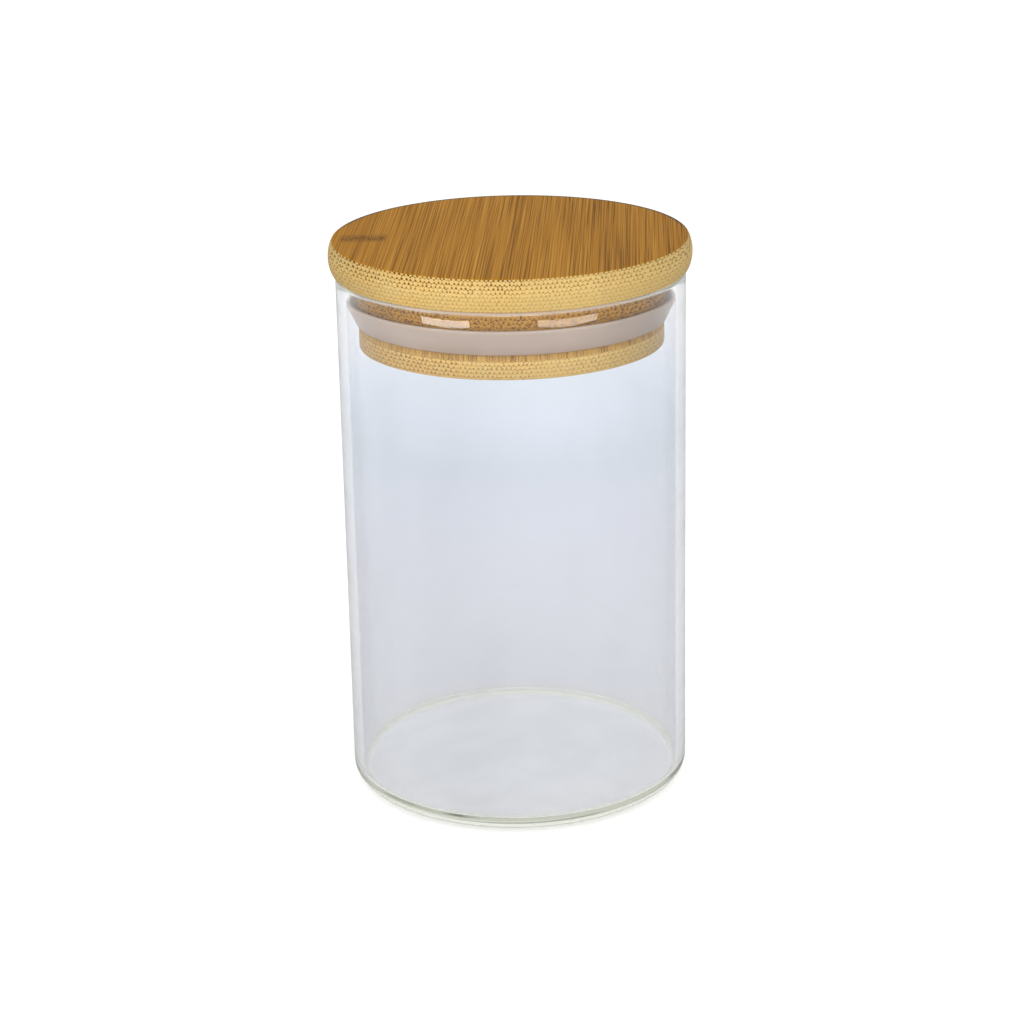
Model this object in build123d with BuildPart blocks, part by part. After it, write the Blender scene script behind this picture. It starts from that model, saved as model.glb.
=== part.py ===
"""Lidded glass canister: a round glass jar closed by a push-in bamboo lid with a silicone seal.

Millimetres. The jar stands on XY, +Z up, and its axis is the Z axis. The lid is shown pushed
home. The lid's bamboo fibres run along Y.
"""

import os

from build123d import *

# Glass jar: a length of borosilicate tube with a flat floor and a melted, rounded rim.
jar_diameter = 65.0
jar_height = 100.0
glass_wall = 1.8
floor_thickness = 2.0
heel_radius = 2.5
inner_heel_radius = 1.2

# Lid cap: the round flange that covers the rim.
cap_overhang = 1.3
cap_thickness = 6.1
cap_side_bulge = 0.8

# Lid plug: the stub that hangs into the jar. A groove for the seal parts its wider neck from
# its lower part.
neck_gap = 1.3
plug_gap = 2.2
plug_depth = 13.4
plug_edge_round = 0.4
groove_depth = 1.3
groove_top_drop = 4.6
groove_height = 4.15
shoulder_depth = 0.9
shoulder_height = 1.35

# Seal: a silicone band with one thin lip that flares up and out to the glass.
foot_proud = 0.4
lip_height = 4.85
lip_thickness = 0.55
lip_root_thickness = 1.15
band_thickness = 0.75
seal_edge_round = 0.12

# Clearances: how far apart the pieces that move on each other stand.
seat_clearance = 0.05
lip_clearance = 0.05
groove_clearance = 0.05

# Bamboo board: flat strips glued edge to edge into plies, and the plies glued into a blank.
strip_width = 13.2
strips_per_ply = 5
blank_margin = 2.0
cap_ply_shift = -2.7
neck_ply_shift = 2.0
plug_ply_shift = -1.5

# Sizes that follow from the ones above.
jar_radius = jar_diameter / 2
bore_radius = jar_radius - glass_wall
rim_radius = glass_wall / 2

cap_radius = jar_radius + cap_overhang
cap_bottom = jar_height + seat_clearance
cap_top = cap_bottom + cap_thickness
cap_middle = cap_bottom + cap_thickness / 2

neck_radius = bore_radius - neck_gap
plug_radius = bore_radius - plug_gap
plug_bottom = cap_bottom - plug_depth
groove_radius = plug_radius - groove_depth
groove_top = cap_bottom - groove_top_drop
groove_bottom = groove_top - groove_height

seal_inner_radius = groove_radius + groove_clearance
seal_bottom = groove_bottom + groove_clearance
band_top = groove_top - groove_clearance
foot_radius = plug_radius + foot_proud
lip_radius = bore_radius - lip_clearance
lip_top = seal_bottom + lip_height

os.makedirs("parts", exist_ok=True)


# The jar is turned from its half section: flat base, heel, wall, full-round rim, bore and floor.
with BuildPart() as glass_jar:
    with BuildSketch(Plane.XZ):
        with BuildLine():
            base = Line((0, 0), (jar_radius - heel_radius, 0))
            heel = TangentArc(base @ 1, (jar_radius, heel_radius), tangent=base % 1)
            outside = Line(heel @ 1, (jar_radius, jar_height - rim_radius))
            rim = ThreePointArc(
                outside @ 1,
                (jar_radius - rim_radius, jar_height),
                (bore_radius, jar_height - rim_radius),
            )
            bore = Line(rim @ 1, (bore_radius, floor_thickness + inner_heel_radius))
            inner_heel = TangentArc(
                bore @ 1, (bore_radius - inner_heel_radius, floor_thickness), tangent=bore % 1
            )
            floor = Line(inner_heel @ 1, (0, floor_thickness))
            Line(floor @ 1, base @ 0)
        make_face()
    revolve(axis=Axis.Z)
glass_jar.part.label = "glass_jar"
export_step(glass_jar.part, "parts/glass_jar.step")


# The seal's section: a band in the groove, a foot just proud of the plug, and the flared lip.
with BuildPart() as seal_ring:
    with BuildSketch(Plane.XZ):
        with BuildLine():
            Polyline(
                (seal_inner_radius, seal_bottom),
                (foot_radius, seal_bottom),
                (lip_radius, lip_top - lip_thickness),
                (lip_radius, lip_top),
                (lip_radius - lip_thickness, lip_top),
                (foot_radius - lip_root_thickness / 2, seal_bottom + lip_root_thickness),
                (seal_inner_radius + band_thickness, band_top),
                (seal_inner_radius, band_top),
                close=True,
            )
        face = make_face()
        fillet(face.vertices(), radius=seal_edge_round)
    revolve(axis=Axis.Z)
seal_ring.part.label = "seal_ring"
export_step(seal_ring.part, "parts/seal_ring.step")


# The cap as turned: flat underside, bullnose side and flat top.
with BuildPart() as cap_turning:
    with BuildSketch(Plane.XZ):
        with BuildLine():
            underside = Line((0, cap_bottom), (cap_radius - cap_side_bulge, cap_bottom))
            bullnose = ThreePointArc(
                underside @ 1,
                (cap_radius, cap_middle),
                (cap_radius - cap_side_bulge, cap_top),
            )
            cap_face = Line(bullnose @ 1, (0, cap_top))
            Line(cap_face @ 1, underside @ 0)
        make_face()
    revolve(axis=Axis.Z)


# The plug as turned: straight neck, seal groove, sloping shoulder and straight lower part.
with BuildPart() as plug_turning:
    with BuildSketch(Plane.XZ):
        with BuildLine():
            under_plug = Line((0, plug_bottom), (plug_radius - plug_edge_round, plug_bottom))
            plug_edge = TangentArc(
                under_plug @ 1, (plug_radius, plug_bottom + plug_edge_round), tangent=under_plug % 1
            )
            Polyline(
                plug_edge @ 1,
                (plug_radius, groove_bottom - shoulder_height),
                (plug_radius - shoulder_depth, groove_bottom),
                (groove_radius, groove_bottom),
                (groove_radius, groove_top),
                (neck_radius, groove_top),
                (neck_radius, cap_bottom),
                (0, cap_bottom),
                under_plug @ 0,
            )
        make_face()
    revolve(axis=Axis.Z)


def cut_ply(name, turning, ply_bottom, ply_top, shift):
    """Cut one ply of a turned piece into the strips that it is glued up from, left to right."""
    blank_edge = cap_radius + blank_margin
    joints = [(k - strips_per_ply / 2) * strip_width + shift for k in range(1, strips_per_ply)]
    edges = [-blank_edge, *joints, blank_edge]
    for number, (left, right) in enumerate(zip(edges, edges[1:]), start=1):
        with BuildPart() as strip:
            add(turning.part)
            with Locations(((left + right) / 2, 0, (ply_bottom + ply_top) / 2)):
                Box(right - left, 2 * blank_edge, ply_top - ply_bottom, mode=Mode.INTERSECT)
        strip.part.label = f"{name}_strip_{number}"
        export_step(strip.part, f"parts/{name}_strip_{number}.step")


# Three plies: the cap is one, and the plug is two with a glue line half way down.
plug_glue_line = cap_bottom - plug_depth / 2
cut_ply("cap", cap_turning, cap_bottom, cap_top, cap_ply_shift)
cut_ply("neck", plug_turning, plug_glue_line, cap_bottom, neck_ply_shift)
cut_ply("plug", plug_turning, plug_bottom, plug_glue_line, plug_ply_shift)
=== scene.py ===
from math import cos, pi, radians, sin, tan

import bmesh
import bpy
from mathutils import Matrix, Vector


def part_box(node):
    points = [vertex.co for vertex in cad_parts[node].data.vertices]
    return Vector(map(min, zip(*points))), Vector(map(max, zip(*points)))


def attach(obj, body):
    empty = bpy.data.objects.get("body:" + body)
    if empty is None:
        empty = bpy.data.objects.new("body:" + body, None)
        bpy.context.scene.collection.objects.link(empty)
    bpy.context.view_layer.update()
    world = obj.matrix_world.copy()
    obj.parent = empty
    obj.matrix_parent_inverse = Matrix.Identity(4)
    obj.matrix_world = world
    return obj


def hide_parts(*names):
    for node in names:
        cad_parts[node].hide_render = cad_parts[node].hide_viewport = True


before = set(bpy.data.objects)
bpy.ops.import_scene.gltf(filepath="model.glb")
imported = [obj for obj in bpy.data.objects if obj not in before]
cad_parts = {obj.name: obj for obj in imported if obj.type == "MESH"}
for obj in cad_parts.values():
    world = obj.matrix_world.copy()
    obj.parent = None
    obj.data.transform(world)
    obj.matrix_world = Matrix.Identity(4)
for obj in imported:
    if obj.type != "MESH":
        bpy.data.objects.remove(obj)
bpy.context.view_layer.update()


# ---- Glass jar ----
# One length of clear borosilicate tube. Its floor is closed in the flame, which leaves a soft
# heel outside and a tighter one inside, and its sawn rim is melted fully round.

jar_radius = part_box("glass_jar")[1].x
jar_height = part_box("glass_jar")[1].z
jar_wall = 0.0018
jar_floor = 0.002
jar_heel = 0.0025
jar_inner_heel = 0.0012


def turned(corners, closed=False):
    """Turn a half section about Z.

    Each corner is its radius, its height, and how far its rounding reaches along both sides.
    """
    bm = bmesh.new()
    section = [bm.verts.new((radius, 0, height)) for radius, height, rounding in corners]
    for start, end in zip(section, section[1:]):
        bm.edges.new((start, end))
    if closed:
        bm.edges.new((section[-1], section[0]))
    for corner, (radius, height, rounding) in zip(section, corners):
        if rounding:
            bmesh.ops.bevel(
                bm,
                geom=[corner],
                offset=rounding,
                segments=10,
                profile=0.5,
                material=-1,
                affect="VERTICES",
            )
    long_runs = [edge for edge in bm.edges if edge.calc_length() > 0.004]
    for run in long_runs:
        bmesh.ops.subdivide_edges(bm, edges=[run], cuts=int(run.calc_length() / 0.002))
    bmesh.ops.spin(
        bm,
        geom=bm.verts[:] + bm.edges[:],
        axis=(0, 0, 1),
        cent=(0, 0, 0),
        angle=2 * pi,
        steps=256,
        use_merge=True,
    )
    bmesh.ops.remove_doubles(bm, verts=bm.verts[:], dist=1e-6)
    bmesh.ops.recalc_face_normals(bm, faces=bm.faces[:])
    return bm


def piece(name, bm, material, sharp=None):
    """Put a finished mesh in the scene as a smooth-shaded piece."""
    mesh = bpy.data.meshes.new(name)
    bm.to_mesh(mesh)
    bm.free()
    mesh.shade_smooth()
    if sharp:
        mesh.set_sharp_from_angle(angle=sharp)
    mesh.materials.append(material)
    made = bpy.data.objects.new(name, mesh)
    bpy.context.scene.collection.objects.link(made)
    return made


class Finish:
    """A material's nodes, with short ways to add the ones that these finishes need."""

    def __init__(self, name):
        self.material = bpy.data.materials.new(name)
        self.material.use_nodes = True
        self.tree = self.material.node_tree
        self.tree.nodes.clear()
        self.surface = self.add("ShaderNodeOutputMaterial").inputs["Surface"]

    def add(self, kind, inputs=None, **settings):
        node = self.tree.nodes.new(kind)
        for key, value in settings.items():
            setattr(node, key, value)
        for key, value in (inputs or {}).items():
            self.feed(node.inputs[key], value)
        return node

    def feed(self, socket, value):
        if isinstance(value, bpy.types.NodeSocket):
            self.tree.links.new(value, socket)
        else:
            socket.default_value = value

    def math(self, operation, a, b=0.0):
        return self.add("ShaderNodeMath", {0: a, 1: b}, operation=operation).outputs[0]

    def times(self, product, *others):
        for other in others:
            product = self.math("MULTIPLY", product, other)
        return product

    def dim(self, colour, share):
        """Make a colour darker, or lighter with a share over 1."""
        dimmed = self.add("ShaderNodeVectorMath", {0: colour, "Scale": share}, operation="SCALE")
        return dimmed.outputs[0]

    def from_axis(self, spot):
        """How far a place lies from the axis that the jar and the lid share."""
        outward = self.add("ShaderNodeCombineXYZ", {"X": spot["X"], "Y": spot["Y"]}).outputs[0]
        return self.add("ShaderNodeVectorMath", {0: outward}, operation="LENGTH").outputs["Value"]

    def ramp(self, value, low, high, to_low=0.0, to_high=1.0):
        """Carry a value smoothly from one level to another between two limits."""
        limits = {"From Min": low, "From Max": high, "To Min": to_low, "To Max": to_high}
        node = self.add(
            "ShaderNodeMapRange",
            {"Value": value, **limits},
            interpolation_type="SMOOTHSTEP",
            clamp=True,
        )
        return node.outputs["Result"]

    def blend(self, share, a, b):
        return self.add("ShaderNodeMix", {0: share, 6: a, 7: b}, data_type="RGBA").outputs[2]

    def stretch(self, vector, x, y, z):
        return self.add("ShaderNodeMapping", {"Vector": vector, "Scale": (x, y, z)}).outputs[0]

    def noise(self, vector, scale, detail=2.0, roughness=0.5):
        inputs = {"Vector": vector, "Scale": scale, "Detail": detail, "Roughness": roughness}
        return self.add("ShaderNodeTexNoise", inputs).outputs["Fac"]


def clear_glass():
    """Clear glass with a faint lavender tint that changes with height, bluer high up: painted
    shade, darker over the wall than at the floor and rim.

    The melted rim is a little hazy, and the heel is faintly olive and a little dull.
    """
    glass = Finish("clear_borosilicate")
    place = glass.add("ShaderNodeTexCoord").outputs["Object"]
    spot = glass.add("ShaderNodeSeparateXYZ", {"Vector": place}).outputs
    height = spot["Z"]
    # Painted shade: the tint darkens the glass by height, most over the lower and middle wall; the
    # olive stops just above the floor are the heel's own colour.
    tint_and_painted_shade = glass.add("ShaderNodeValToRGB", {0: glass.math("DIVIDE", height, jar_height)})
    stops = tint_and_painted_shade.color_ramp.elements
    stops[0].position = 0.0
    stops[0].color = (1.0, 1.0, 1.0, 1)
    stops[1].position = 1.0
    stops[1].color = (0.95, 0.955, 0.965, 1)
    for position, colour in (
        (0.0203, (1.0, 1.0, 1.0, 1)),
        (0.0212, (0.72, 0.73, 0.64, 1)),
        (0.025, (0.74, 0.75, 0.69, 1)),
        (0.036, (0.765, 0.77, 0.79, 1)),
        (0.12, (0.76, 0.77, 0.80, 1)),
        (0.22, (0.775, 0.785, 0.815, 1)),
        (0.45, (0.785, 0.79, 0.835, 1)),
        (0.60, (0.79, 0.815, 0.86, 1)),
        (0.71, (0.765, 0.805, 0.85, 1)),
        (0.81, (0.85, 0.88, 0.935, 1)),
        (0.95, (0.94, 0.945, 0.96, 1)),
    ):
        stops.new(position).color = colour

    # Where the wall is seen edge on, there is more glass to look through.
    edge_on = glass.add("ShaderNodeLayerWeight", {"Blend": 0.5}).outputs["Facing"]
    body = glass.add(
        "ShaderNodeMix",
        {0: glass.ramp(edge_on, 0.60, 0.74), 6: tint_and_painted_shade.outputs[0], 7: (0.83, 0.835, 0.865, 1)},
        data_type="RGBA",
        blend_type="MULTIPLY",
    )
    smear = glass.noise(glass.stretch(place, 38, 38, 14), 1.0, 2.0)
    body = glass.dim(body.outputs[2], glass.ramp(smear, 0.3, 0.7, 0.972, 1.02))
    heel_start = jar_radius - jar_heel
    heel = glass.times(
        glass.ramp(glass.from_axis(spot), heel_start, heel_start + 0.0006),
        glass.ramp(height, jar_floor - 0.0006, jar_floor + 0.0004, 1.0, 0.0),
    )
    body = glass.blend(glass.times(heel, 0.9), body, (0.86, 0.87, 0.78, 1))
    haze = glass.ramp(height, jar_height - 0.0009, jar_height - 0.0003)
    rough = glass.math("ADD", glass.times(haze, 0.2), glass.times(heel, 0.12))
    clear = glass.math("SUBTRACT", 1.0, glass.times(haze, 0.4))
    clear = glass.math("SUBTRACT", clear, glass.times(heel, 0.4))
    wave = glass.noise(glass.stretch(place, 60, 60, 9), 1.0, 1.0)
    bump = glass.add("ShaderNodeBump", {"Height": wave, "Strength": 0.05, "Distance": 0.0004})
    wall = glass.add(
        "ShaderNodeBsdfPrincipled",
        {
            "Base Color": body,
            "Roughness": glass.math("ADD", rough, 0.015),
            "IOR": 1.47,
            "Transmission Weight": clear,
            "Normal": bump.outputs[0],
        },
    )

    # Shadows let the light straight through.
    see_through = glass.add("ShaderNodeBsdfTransparent", {"Color": (1.0, 1.0, 1.0, 1)})
    path = glass.add("ShaderNodeLightPath").outputs
    either = glass.add(
        "ShaderNodeMixShader",
        {0: path["Is Shadow Ray"], 1: wall.outputs[0], 2: see_through.outputs[0]},
    )

    # Painted light: where a path is caught in the wall or floor, the glass glows a pale colour
    # streaked dark by the heel, and where the table sends light back up through the floor it glows
    # near white, standing in for the white room.
    streaks = glass.noise(glass.stretch(place, 90, 90, 300), 1.0, 2.0)
    streaks = glass.ramp(streaks, 0.38, 0.6)
    painted_trapped_light = glass.blend(streaks, (0.16, 0.18, 0.13, 1), (0.66, 0.68, 0.60, 1))
    from_table = glass.math("GREATER_THAN", path["Diffuse Depth"], 0.5)
    painted_trapped_light = glass.blend(from_table, painted_trapped_light, (0.86, 0.875, 0.90, 1))
    painted_glow = glass.add("ShaderNodeEmission", {"Color": painted_trapped_light, "Strength": 1.0})
    trapped = glass.math("GREATER_THAN", path["Ray Depth"], 5.5)
    ended = glass.add("ShaderNodeMixShader", {0: trapped, 1: either.outputs[0], 2: painted_glow.outputs[0]})
    glass.feed(glass.surface, ended.outputs[0])
    glass.material.cycles.emission_sampling = "NONE"
    return glass.material


jar_section = [
    (0, 0, 0),
    (jar_radius, 0, jar_heel),
    (jar_radius, jar_height, jar_wall * 0.499),
    (jar_radius - jar_wall, jar_height, jar_wall * 0.499),
    (jar_radius - jar_wall, jar_floor, jar_inner_heel),
    (0, jar_floor, 0),
]
jar = piece("glass_jar_blown", turned(jar_section), clear_glass())
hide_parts("glass_jar")
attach(jar, "jar")


# ---- Silicone seal ----
# One moulded ring of milky silicone. A band sits in the lid's groove, a foot stands a little
# proud of the plug, and a thin lip flares up and out until it meets the glass.

cap_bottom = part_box("cap_strip_3")[0].z
seal_low, seal_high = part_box("seal_ring")
seal_foot = 0.0289
seal_inner = 0.02725
seal_lip = 0.00055
seal_root = 0.00115
seal_band = 0.00075
seal_band_top = cap_bottom - 0.00465


def milky_silicone():
    """Translucent silicone: milky, faintly mauve, satin, a little warmer towards its root, and
    painted darker towards its right side as shade.
    """
    silicone = Finish("milky_silicone")
    place = silicone.add("ShaderNodeTexCoord").outputs["Object"]
    spot = silicone.add("ShaderNodeSeparateXYZ", {"Vector": place}).outputs
    cloud = silicone.noise(place, 90.0, 3.0)
    above_root = silicone.ramp(spot["Z"], seal_low.z, seal_low.z + 0.0025)
    colour = silicone.blend(above_root, (0.48, 0.35, 0.27, 1), (0.545, 0.435, 0.355, 1))
    milk = silicone.ramp(cloud, 0.3, 0.75, 0.0, 0.35)
    colour = silicone.blend(milk, colour, (0.61, 0.505, 0.425, 1))
    # Painted shade: the seal darkens towards its right side.
    colour = silicone.dim(colour, silicone.ramp(spot["X"], 0.010, 0.028, 1.0, 0.86))
    grain = silicone.noise(place, 2600.0, 2.0)
    bump = silicone.add("ShaderNodeBump", {"Height": grain, "Strength": 0.12, "Distance": 0.0001})
    rubber = silicone.add(
        "ShaderNodeBsdfPrincipled",
        {
            "Base Color": colour,
            "Roughness": silicone.ramp(cloud, 0.2, 0.8, 0.36, 0.46),
            "IOR": 1.41,
            "Transmission Weight": 0.3,
            "Subsurface Weight": 0.6,
            "Subsurface Radius": (1.0, 0.8, 0.7),
            "Subsurface Scale": 0.0012,
            "Normal": bump.outputs[0],
        },
    )
    silicone.feed(silicone.surface, rubber.outputs[0])
    return silicone.material


seal_section = [
    (seal_inner, seal_low.z, 0.00012),
    (seal_foot, seal_low.z, 0.0002),
    (seal_high.x, seal_high.z - seal_lip, 0.0002),
    (seal_high.x, seal_high.z, 0.0002),
    (seal_high.x - seal_lip, seal_high.z, 0.0002),
    (seal_foot - seal_root / 2, seal_low.z + seal_root, 0.0004),
    (seal_inner + seal_band, seal_band_top, 0.0002),
    (seal_inner, seal_band_top, 0.0002),
]
seal = piece("silicone_seal", turned(seal_section, closed=True), milky_silicone())
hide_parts("seal_ring")
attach(seal, "seal")


# ---- Bamboo lid ----
# Turned from a board of flat bamboo strips, three plies deep, glued edge to edge and face to
# face. The fibres run along Y, so the top shows them as streaks and the front and back show
# their cut ends as dots, crowded towards each strip's outer side.

cap_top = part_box("cap_strip_3")[1].z
cap_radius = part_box("cap_strip_3")[1].y
plug_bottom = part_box("plug_strip_3")[0].z
plug_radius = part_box("plug_strip_3")[1].y
neck_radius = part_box("neck_strip_3")[1].y
glue_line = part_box("plug_strip_3")[1].z
groove_radius = 0.0272
groove_top = cap_bottom - 0.0046
groove_bottom = groove_top - 0.00415
shoulder_depth = 0.0009
shoulder_height = 0.00135


vessels_across = 1240
vessel_rows = 1400


def bamboo(
    name, ply_top, ply_bottom, fade_low, specks, tilt, pale, green, vessel, face, streak_dark
):
    """Bamboo as a solid: bundles of fibres run along Y through a strip, so any cut shows them."""
    wood = Finish(name)
    coordinates = wood.add("ShaderNodeTexCoord")
    place = coordinates.outputs["Object"]
    facing = wood.add("ShaderNodeSeparateXYZ", {"Vector": coordinates.outputs["Normal"]})
    where = wood.add("ShaderNodeSeparateXYZ", {"Vector": place}).outputs
    shade = wood.add("ShaderNodeAttribute", attribute_name="shade").outputs["Fac"]
    bundles = wood.add("ShaderNodeAttribute", attribute_name="bundles").outputs["Fac"]
    # Each strip's lightness at its sides: its own tone, with painted shade on the outer strips.
    side_tone_and_painted_shade = wood.add("ShaderNodeAttribute", attribute_name="side_tone_and_painted_shade").outputs["Fac"]
    depth = wood.ramp(where["Z"], ply_top, ply_bottom)

    # Cut ends: staggered rows of small vessels, 0.8 mm apart, each a little taller than wide.
    sway = wood.noise(wood.stretch(place, 160, 10, 160), 1.0, 1.0)
    across = wood.math("ADD", where["X"], wood.times(sway, 0.0012))
    across = wood.math("ADD", across, wood.times(shade, 0.031))
    up = wood.times(where["Z"], vessel_rows)
    stagger = wood.times(wood.math("MODULO", wood.math("FLOOR", up), 2.0), 0.5)
    across = wood.math("ADD", wood.times(across, vessels_across), stagger)
    lattice = wood.add("ShaderNodeCombineXYZ", {"X": across, "Y": up}).outputs[0]
    cell = wood.add(
        "ShaderNodeTexVoronoi",
        {"Vector": lattice, "Scale": 1.0, "Randomness": 0.26},
        voronoi_dimensions="2D",
        feature="F1",
    )
    from_cell = wood.add(
        "ShaderNodeVectorMath",
        {0: lattice, 1: cell.outputs["Position"]},
        operation="SUBTRACT",
    )
    from_cell = wood.stretch(from_cell.outputs[0], 1.45, 1.0, 1.0)
    away = wood.add("ShaderNodeVectorMath", {0: from_cell}, operation="LENGTH").outputs["Value"]
    dot = wood.ramp(away, 0.23, wood.ramp(depth, 0.0, 1.0, 0.49, 0.43), 1.0, 0.0)
    patchy = wood.noise(wood.stretch(place, 300, 20, 500), 1.0, 2.0)
    patchy = wood.ramp(patchy, 0.3, 0.6, 0.75, 1.0)
    dot = wood.times(dot, patchy, wood.ramp(depth, 0.1, 0.9, 1.0, fade_low), bundles)

    # Finer specks, scattered without rows.
    scatter = wood.add("ShaderNodeCombineXYZ", {"X": where["X"], "Y": where["Z"]}).outputs[0]
    speck = wood.add(
        "ShaderNodeTexVoronoi",
        {"Vector": wood.stretch(scatter, 900, 1150, 1), "Scale": 1.0, "Randomness": 0.85},
        voronoi_dimensions="2D",
        feature="F1",
    )
    dot = wood.math("MAXIMUM", dot, wood.ramp(speck.outputs["Distance"], 0.12, 0.25, specks, 0.0))

    # Along the fibres: crisp dark lines, hair-fine grain, and broad bands a few millimetres wide.
    strip_shift = wood.add("ShaderNodeCombineXYZ", {"X": wood.times(shade, 0.7)}).outputs[0]
    shifted = wood.add("ShaderNodeVectorMath", {0: place, 1: strip_shift}, operation="ADD")
    shifted = shifted.outputs[0]
    lines = wood.noise(wood.stretch(shifted, 5600, 18, 300), 1.0, 1.0)
    hairs = wood.noise(wood.stretch(shifted, 7500, 50, 600), 1.0, 1.0)
    bands = wood.noise(wood.stretch(shifted, 420, 5, 100), 1.0, 3.0, 0.6)
    crowd = wood.math("ADD", wood.times(wood.math("SUBTRACT", bands, 0.5), 0.16), lines)
    dark_line = wood.ramp(crowd, 0.55, 0.60)
    light_line = wood.ramp(crowd, 0.42, 0.32)
    hair = wood.ramp(hairs, 0.30, 0.70)

    end_grain = wood.ramp(wood.math("ABSOLUTE", facing.outputs["Y"]), 0.06, 0.34)
    level = wood.ramp(facing.outputs["Z"], tilt, tilt + 0.3)

    # The strip's flat face, on top.
    face_dark, face_mid, face_light = face
    top = wood.blend(wood.ramp(bands, 0.3, 0.7, 0.0, 0.45), face_mid, face_dark)
    top = wood.blend(wood.times(hair, 0.40), top, face_dark)
    top = wood.blend(wood.times(light_line, 0.6), top, face_light)
    streak = wood.times(dark_line, wood.ramp(shade, 0.0, 1.0, 0.66, 0.86))
    top = wood.blend(streak, top, streak_dark)
    # Painted shade: the top is darker towards the right.
    top = wood.dim(top, wood.ramp(where["X"], 0.0, 0.028, 1.0, 0.93))

    # Its edges and cut ends, at the side.
    greener = wood.noise(wood.stretch(place, 200, 20, 260), 1.0, 2.0)
    side = wood.blend(wood.ramp(greener, 0.3, 0.7), pale, green)
    side = wood.blend(wood.times(wood.ramp(shade, 0.1, 0.9), 0.7), side, green)
    side_streak = wood.times(dark_line, wood.ramp(end_grain, 0.0, 1.0, 0.35, 0.0))
    side = wood.blend(side_streak, side, vessel)
    side = wood.blend(wood.times(dot, wood.ramp(end_grain, 0.0, 1.0, 0.1, 1.0)), side, vessel)
    # Painted shade on the sides: darker towards both ends of X, where the sides turn from the front
    # light, and towards the lower edge of each ply, scaled by each strip's tone.
    painted_side_shade_and_tone = wood.ramp(wood.math("ABSOLUTE", where["X"]), 0.010, 0.032, 1.0, 0.88)
    painted_side_shade_and_tone = wood.times(painted_side_shade_and_tone, wood.ramp(depth, 0.35, 1.0, 1.0, 0.87), side_tone_and_painted_shade)
    side = wood.dim(side, painted_side_shade_and_tone)
    # Top-facing surfaces take the face colours, the rest the end-grain colours: partly the real
    # difference between long grain and cut ends, partly painted shade, with the top painted darker
    # than the lit edge.
    colour = wood.blend(level, side, top)

    return wood, colour, dot, crowd, level, where


def bamboo_surface(wood, colour, dot, crowd):
    """Sanded and thinly lacquered: satin, with the fibres just felt."""
    relief = wood.math("SUBTRACT", wood.times(crowd, -0.5), wood.times(dot, 0.6))
    bump = wood.add("ShaderNodeBump", {"Height": relief, "Strength": 0.3, "Distance": 0.00006})
    satin = wood.add(
        "ShaderNodeBsdfPrincipled",
        {
            "Base Color": colour,
            "Roughness": wood.ramp(crowd, 0.3, 0.7, 0.46, 0.58),
            "IOR": 1.48,
            "Specular IOR Level": 0.1,
            "Normal": bump.outputs[0],
        },
    )
    wood.feed(wood.surface, satin.outputs[0])
    return wood.material


def cap_finish():
    """The cap's bamboo, with the scar of one culm joint, and a painted shade line along its back
    top edge.
    """
    wood, colour, dot, crowd, level, where = bamboo(
        "bamboo_cap",
        cap_top,
        cap_bottom + 0.001,
        fade_low=0.5,
        specks=0.0,
        tilt=0.58,
        pale=(0.62, 0.41, 0.135, 1),
        green=(0.60, 0.425, 0.16, 1),
        vessel=(0.12, 0.042, 0.005, 1),
        face=((0.30, 0.125, 0.005, 1), (0.405, 0.178, 0.008, 1), (0.52, 0.265, 0.028, 1)),
        streak_dark=(0.15, 0.055, 0.004, 1),
    )
    # The joint's scar: a wavy band of short dark strokes across the leftmost strip, 4 mm deep.
    x, y = where["X"], where["Y"]
    flat = wood.add("ShaderNodeCombineXYZ", {"X": x, "Y": y}).outputs[0]
    along = wood.add("ShaderNodeCombineXYZ", {"X": x}).outputs[0]
    wave = wood.times(wood.math("SUBTRACT", wood.noise(along, 420.0, 1.0), 0.5), 0.007)
    off = wood.math("ABSOLUTE", wood.math("SUBTRACT", wood.math("ADD", y, 0.0023), wave))
    strokes = wood.ramp(wood.noise(wood.stretch(flat, 3600, 420, 1), 1.0, 2.0), 0.44, 0.58)
    scar = wood.times(wood.ramp(off, 0.0004, 0.0017, 0.95, 0.0), strokes)
    halo = wood.math("ABSOLUTE", wood.math("ADD", y, 0.0021))
    scar = wood.math("MAXIMUM", scar, wood.ramp(halo, 0.001, 0.0038, 0.4, 0.0))
    starts = wood.ramp(x, -0.0318, -0.0305)
    stops = wood.ramp(x, -0.0229, -0.0225, 1.0, 0.0)
    scar = wood.times(scar, starts, stops, level)
    colour = wood.blend(scar, colour, (0.09, 0.034, 0.005, 1))

    # Painted shade: a thin dark line round the back half of the top edge, where the rounding turns
    # away.
    outermost = wood.ramp(wood.from_axis(where), 0.0319, 0.0324)
    back_edge_painted_shade = wood.ramp(y, 0.002, 0.012, 0.0, 0.95)
    top_edge = wood.ramp(where["Z"], cap_top - 0.0022, cap_top - 0.0010)
    colour = wood.blend(wood.times(outermost, back_edge_painted_shade, top_edge), colour, (0.10, 0.06, 0.03, 1))
    return bamboo_surface(wood, colour, dot, crowd)


def plug_finish(name, ply_top, ply_bottom, specks, pale, green):
    """The plug's plies, whose cut ends show their vessels all the way down."""
    wood, colour, dot, crowd = bamboo(
        name,
        ply_top,
        ply_bottom,
        fade_low=0.8,
        specks=specks,
        tilt=0.3,
        pale=pale,
        green=green,
        vessel=(0.13, 0.045, 0.006, 1),
        face=((0.45, 0.24, 0.04, 1), (0.56, 0.33, 0.075, 1), (0.66, 0.42, 0.11, 1)),
        streak_dark=(0.24, 0.10, 0.015, 1),
    )[:4]
    return bamboo_surface(wood, colour, dot, crowd)


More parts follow.
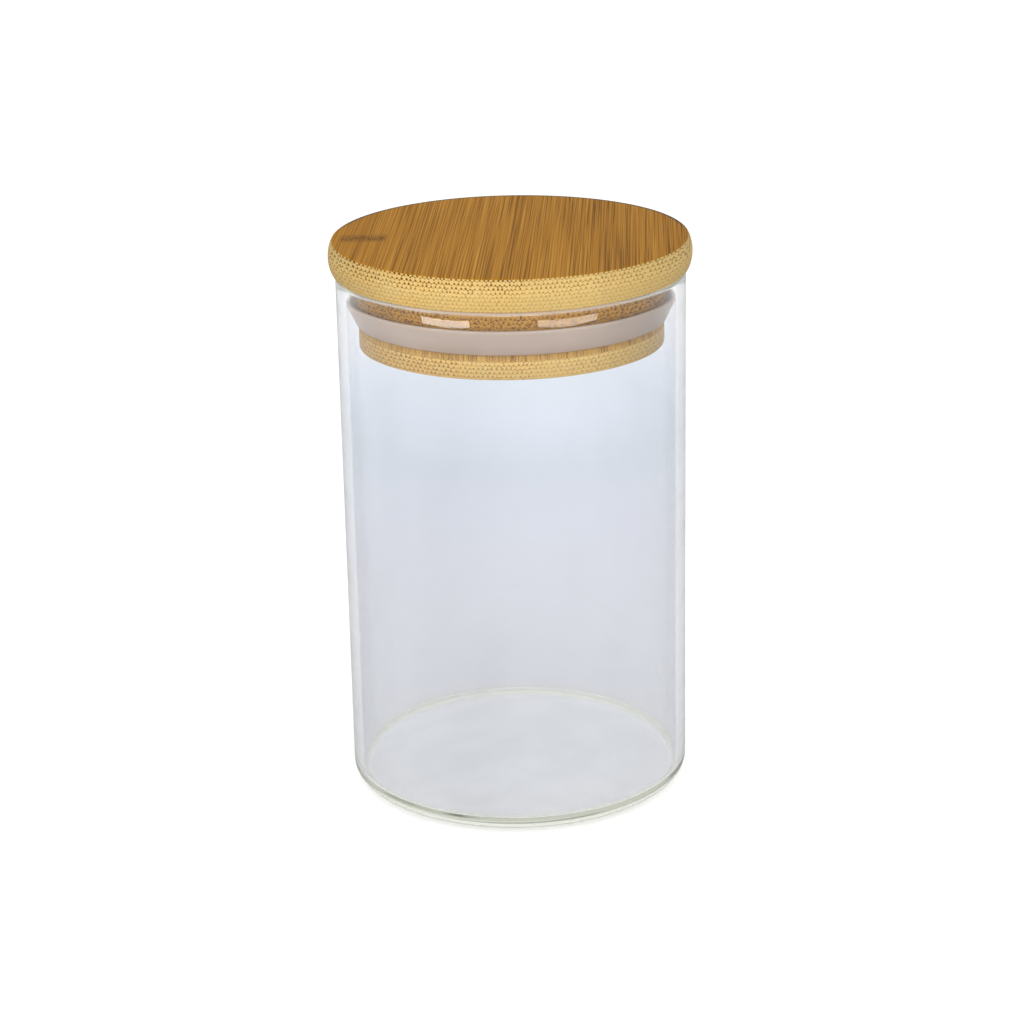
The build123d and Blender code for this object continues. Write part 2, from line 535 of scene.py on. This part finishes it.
# Each strip's own shade, how bold its vessels are, and how light its sides and cut ends are, from
# left to right; that lightness is partly each strip's own tone and partly painted shade, darker on
# the outer strips. The shade also moves the pattern along, so that no two strips are alike.
tones = {
    "shade": {
        "cap": (0.2, 0.0, 0.45, 0.8, 1.0),
        "neck": (0.6, 0.2, 0.5, 0.1, 0.8),
        "plug": (0.1, 0.3, 0.55, 0.8, 0.95),
    },
    "bundles": {
        "cap": (1.0, 1.0, 0.95, 0.72, 0.68),
        "neck": (0.8, 1.0, 0.9, 1.0, 0.8),
        "plug": (1.0, 1.0, 0.85, 0.65, 0.65),
    },
    "side_tone_and_painted_shade": {
        "cap": (0.94, 0.97, 1.0, 0.98, 0.94),
        "neck": (0.95, 1.0, 0.97, 1.0, 0.95),
        "plug": (0.94, 0.97, 1.0, 0.98, 0.94),
    },
}


def saw_into_strips(ply, turning, material):
    """Cut a turned ply along its glue lines, one piece for each strip, closed where it was cut."""
    for number in range(1, 6):
        node = f"{ply}_strip_{number}"
        low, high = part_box(node)
        bm = turning.copy()
        for place, normal in (
            ((low.x, 0, 0), (-1, 0, 0)),
            ((high.x, 0, 0), (1, 0, 0)),
            ((0, 0, low.z), (0, 0, -1)),
            ((0, 0, high.z), (0, 0, 1)),
        ):
            cut = bmesh.ops.bisect_plane(
                bm,
                geom=bm.verts[:] + bm.edges[:] + bm.faces[:],
                dist=1e-7,
                plane_co=place,
                plane_no=normal,
                clear_outer=True,
            )
            cut_edges = [part for part in cut["geom_cut"] if isinstance(part, bmesh.types.BMEdge)]
            rim = [edge for edge in cut_edges if edge.is_boundary]
            if rim:
                bmesh.ops.edgenet_fill(bm, edges=rim)
        bmesh.ops.recalc_face_normals(bm, faces=bm.faces[:])
        strip = piece(f"{ply}_bamboo_strip_{number}", bm, material, sharp=radians(40))
        for name, plies in tones.items():
            tone = strip.data.attributes.new(name, "FLOAT", "POINT")
            tone.data.foreach_set("value", [plies[ply][number - 1]] * len(strip.data.vertices))
        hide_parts(node)
        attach(strip, "lid")


# The cap's side starts as a blunt point, which is rounded until only one arc is left of it.
cap_lean = radians(29.4)
cap_face_radius = cap_radius - 0.00089
cap_half = (cap_top - cap_bottom) / 2
cap_point_radius = cap_face_radius + tan(cap_lean) * cap_half
cap_point_rounding = cap_half / cos(cap_lean) - 0.00035
cap_section = [
    (0, cap_bottom, 0),
    (cap_face_radius, cap_bottom, 0.0003),
    (cap_point_radius, cap_bottom + cap_half, cap_point_rounding),
    (cap_face_radius, cap_top, 0.0003),
    (0, cap_top, 0),
]
plug_section = [
    (0, plug_bottom, 0),
    (plug_radius, plug_bottom, 0.0004),
    (plug_radius, groove_bottom - shoulder_height, 0.00025),
    (plug_radius - shoulder_depth, groove_bottom, 0.0001),
    (groove_radius, groove_bottom, 0),
    (groove_radius, groove_top, 0),
    (neck_radius, groove_top, 0.0002),
    (neck_radius, cap_bottom, 0),
    (0, cap_bottom, 0),
]
cap_turning = turned(cap_section)
plug_turning = turned(plug_section)
neck_finish = plug_finish(
    "bamboo_neck", cap_bottom, glue_line, 1.0, (0.44, 0.21, 0.014, 1), (0.48, 0.24, 0.022, 1)
)
lower_finish = plug_finish(
    "bamboo_plug", glue_line, plug_bottom, 0.0, (0.73, 0.44, 0.12, 1), (0.69, 0.46, 0.145, 1)
)
saw_into_strips("cap", cap_turning, cap_finish())
saw_into_strips("neck", plug_turning, neck_finish)
saw_into_strips("plug", plug_turning, lower_finish)


# ---- Studio ----
# A plain white floor under a white sky, with one large soft light in front and one to the left.
# The floor lies a hair below the jar's base, so that the glass keeps its own lower face.

floor_drop = Matrix.Translation((0, 0, -0.0003))
floor_bm = bmesh.new()
bmesh.ops.create_grid(floor_bm, x_segments=2, y_segments=2, size=4.0, matrix=floor_drop)
floor_finish = Finish("studio_floor")
# Painted reflection: seen in a gloss reflection, the floor is painted about half as bright as it
# is.
floor_path = floor_finish.add("ShaderNodeLightPath").outputs
mirrored = floor_finish.math(
    "SUBTRACT", floor_path["Is Glossy Ray"], floor_path["Is Transmission Ray"]
)
floor_colour = floor_finish.blend(mirrored, (0.97, 0.97, 0.97, 1), (0.5, 0.5, 0.5, 1))
floor_paint = floor_finish.add("ShaderNodeBsdfDiffuse", {"Color": floor_colour})
floor_finish.feed(floor_finish.surface, floor_paint.outputs[0])
floor = piece("studio_floor", floor_bm, floor_finish.material)

sky = bpy.data.worlds.new("studio_sky")
sky.use_nodes = True
sky_nodes = sky.node_tree.nodes
sky_links = sky.node_tree.links
sky_light = sky_nodes["Background"]
sky_light.inputs["Color"].default_value = (1, 1, 1, 1)
sky_place = sky_nodes.new("ShaderNodeTexCoord")
sky_split = sky_nodes.new("ShaderNodeSeparateXYZ")
sky_rise = sky_nodes.new("ShaderNodeMapRange")
sky_rise.inputs["To Min"].default_value = 1.02
sky_rise.inputs["To Max"].default_value = 1.14
sky_path = sky_nodes.new("ShaderNodeLightPath")
sky_mirrored = sky_nodes.new("ShaderNodeMath")
sky_mirrored.operation = "SUBTRACT"
sky_mirrored.use_clamp = True
sky_gloss = sky_nodes.new("ShaderNodeMapRange")
sky_gloss.inputs["To Min"].default_value = 1.0
sky_gloss.inputs["To Max"].default_value = 0.4
sky_power = sky_nodes.new("ShaderNodeMath")
sky_power.operation = "MULTIPLY"
sky_links.new(sky_place.outputs["Generated"], sky_split.inputs["Vector"])
sky_links.new(sky_split.outputs["Z"], sky_rise.inputs["Value"])
sky_links.new(sky_path.outputs["Is Glossy Ray"], sky_mirrored.inputs[0])
sky_links.new(sky_path.outputs["Is Transmission Ray"], sky_mirrored.inputs[1])
sky_links.new(sky_mirrored.outputs[0], sky_gloss.inputs["Value"])
sky_links.new(sky_rise.outputs["Result"], sky_power.inputs[0])
sky_links.new(sky_gloss.outputs["Result"], sky_power.inputs[1])
sky_links.new(sky_power.outputs[0], sky_light.inputs["Strength"])
bpy.context.scene.world = sky


def softbox(name, place, aim, width, height, power):
    """A soft rectangular light that faces a point."""
    lamp = bpy.data.lights.new(name, "AREA")
    lamp.shape = "RECTANGLE"
    lamp.size = width
    lamp.size_y = height
    lamp.energy = power
    box = bpy.data.objects.new(name, lamp)
    box.location = place
    box.rotation_euler = (Vector(aim) - Vector(place)).to_track_quat("-Z", "Y").to_euler()
    bpy.context.scene.collection.objects.link(box)


middle = (0, 0, jar_height / 2)
softbox("front_softbox", (0.1, -0.9, 0.45), middle, 0.5, 0.5, 2.0)
softbox("left_softbox", (-0.7, -0.4, 0.4), middle, 0.3, 0.5, 0.8)

# Two small strip lights stand close by, for the pale glare on the glass round the lid's neck.
strip_distance = 0.06
strip_height = 0.0905
for name, bearing, length, power in (
    ("left_strip", radians(-29), 0.026, 0.0021),
    ("right_strip", radians(30), 0.032, 0.0017),
):
    across = strip_distance * sin(bearing)
    in_front = -strip_distance * cos(bearing)
    softbox(name, (across, in_front, strip_height), (0, 0, strip_height), length, 0.0028, power)
    strip_light = bpy.data.objects[name]
    strip_light.visible_camera = False
    strip_light.visible_transmission = False

bpy.context.scene.view_settings.view_transform = "Standard"


# ---- Camera ----
# It looks down on the canister from in front, at the height of someone seated at the table, and
# stands a few degrees to the right, so that the fibres lean away from it.

camera_data = bpy.data.cameras.new("camera")
camera_data.sensor_width = 36
camera_data.lens = 96.6
camera_distance = 0.4959
camera_height = 0.2255
camera = bpy.data.objects.new("camera", camera_data)
swing = radians(2.8)
tilt_down = radians(19.300)
turn = radians(-0.071) - swing
roll = radians(-1.153)
stand = Vector((camera_distance * sin(swing), -camera_distance * cos(swing), camera_height))
ahead = Vector((sin(turn) * cos(tilt_down), cos(turn) * cos(tilt_down), -sin(tilt_down)))
level = ahead.cross(Vector((0, 0, 1))).normalized()
upright = level.cross(ahead)
right = cos(roll) * level + sin(roll) * upright
above = cos(roll) * upright - sin(roll) * level
axes = Matrix((right, above, -ahead)).transposed().to_4x4()
camera.matrix_world = Matrix.Translation(stand) @ axes
bpy.context.scene.collection.objects.link(camera)
bpy.context.scene.camera = camera
